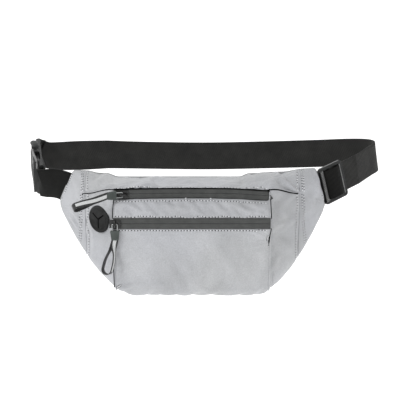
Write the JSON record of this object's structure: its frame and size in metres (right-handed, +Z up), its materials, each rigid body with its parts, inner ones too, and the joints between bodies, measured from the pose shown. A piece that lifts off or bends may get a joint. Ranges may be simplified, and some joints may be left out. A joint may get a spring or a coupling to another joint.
{
  "type": "waist bag",
  "caption": "Slim reflective-fabric waist bag with a zipped main compartment, zipped front pocket, cable port and adjustable buckled webbing belt.",
  "frame": {"origin": "bottom edge of the bag at its middle, on the rear face that rests on the wearer's waist", "axes": "+X to the bag's right as seen from the front, along its longest extent; +Y to the rear, towards the wearer; +Z up"},
  "size_m": [0.4751, 0.2201, 0.166],
  "materials": {
    "shell_fabric": "satin",
    "back_mesh": "matte",
    "webbing": "matte",
    "zip_tape": "satin",
    "pull_ribbon": "matte",
    "zip_coil": "satin",
    "slider_metal": "gloss",
    "pull_wire": "satin",
    "pull_block": "matte",
    "port_rubber": "matte",
    "buckle_plastic": "satin"
  },
  "bodies": {
    "root": {"top_panel": "shell_fabric", "front_panel": "shell_fabric", "base_panel": "shell_fabric", "left_side_panel": "shell_fabric", "right_side_panel": "shell_fabric", "left_wing": "shell_fabric", "right_wing": "shell_fabric", "pocket_band": "shell_fabric", "pocket_face": "shell_fabric", "pocket_left_gusset": "shell_fabric", "pocket_right_gusset": "shell_fabric", "back_panel": "back_mesh", "main_zip_upper_tape": "zip_tape", "main_zip_lower_tape": "zip_tape", "main_zip_coils": "zip_coil", "main_zip_stops": "slider_metal", "pocket_zip_upper_tape": "zip_tape", "pocket_zip_lower_tape": "zip_tape", "pocket_zip_coils": "zip_coil", "pocket_zip_stops": "slider_metal", "port_disc": "port_rubber", "port_washer": "port_rubber", "left_webbing": "webbing", "left_webbing_fold": "webbing", "belt_strip": "webbing", "belt_outer": "webbing", "belt_inner": "webbing", "belt_outer_end": "webbing", "belt_inner_end": "webbing", "buckle_female": "buckle_plastic"},
    "main_slider": {"main_slider": "slider_metal"},
    "main_pull": {"main_pull_link": "pull_wire", "main_pull_block": "pull_block", "main_pull_ribbon": "pull_ribbon"},
    "pocket_slider": {"pocket_slider": "slider_metal"},
    "pocket_pull": {"pocket_pull_link": "pull_wire", "pocket_pull_block": "pull_block", "pocket_pull_ribbon": "pull_ribbon"},
    "buckle_male": {"buckle_male": "buckle_plastic", "belt_male_fold": "webbing"},
    "buckle_left_prong": {"buckle_left_prong": "buckle_plastic"},
    "buckle_right_prong": {"buckle_right_prong": "buckle_plastic"},
    "triglide": {"triglide": "buckle_plastic", "triglide_wrap": "webbing"}
  },
  "joints": [
    {"name": "main_zip_slide", "type": "slide", "parent": "root", "child": "main_slider", "axis": [1, 0, 0], "range_m": [0, 0.16]},
    {"name": "main_pull_lift", "type": "hinge", "parent": "main_slider", "child": "main_pull", "pos_m": [-0.082, -0.0602, 0.1235], "axis": [0, 0, 1], "range_deg": [-15, 130]},
    {"name": "pocket_zip_slide", "type": "slide", "parent": "root", "child": "pocket_slider", "axis": [1, 0, 0], "range_m": [0, 0.16]},
    {"name": "pocket_pull_lift", "type": "hinge", "parent": "pocket_slider", "child": "pocket_pull", "pos_m": [-0.09, -0.0788, 0.0925], "axis": [-1, 0, 0], "range_deg": [0, 120]},
    {"name": "buckle_slide", "type": "slide", "parent": "root", "child": "buckle_male", "axis": [-0.2273, 0.9118, 0.342], "range_m": [0, 0.032], "deforming": ["belt_outer_end", "belt_inner_end"]},
    {"name": "left_prong_squeeze", "type": "hinge", "parent": "buckle_male", "child": "buckle_left_prong", "pos_m": [-0.20419, 0.07082, 0.1504], "axis": [0.9703, 0.2419, 0], "range_deg": [0, 6], "stiffness_Nm_per_rad": 0.3},
    {"name": "right_prong_squeeze", "type": "hinge", "parent": "buckle_male", "child": "buckle_right_prong", "pos_m": [-0.207, 0.08211, 0.11845], "axis": [-0.9703, -0.2419, 0], "range_deg": [0, 6], "stiffness_Nm_per_rad": 0.3},
    {"name": "triglide_slide", "type": "slide", "parent": "root", "child": "triglide", "axis": [0.7923, 0.5612, 0.2393], "range_m": [0, 0.028]}
  ],
  "couplings": [
    {"joint": "right_prong_squeeze", "follows": "left_prong_squeeze", "ratio": 1}
  ]
}
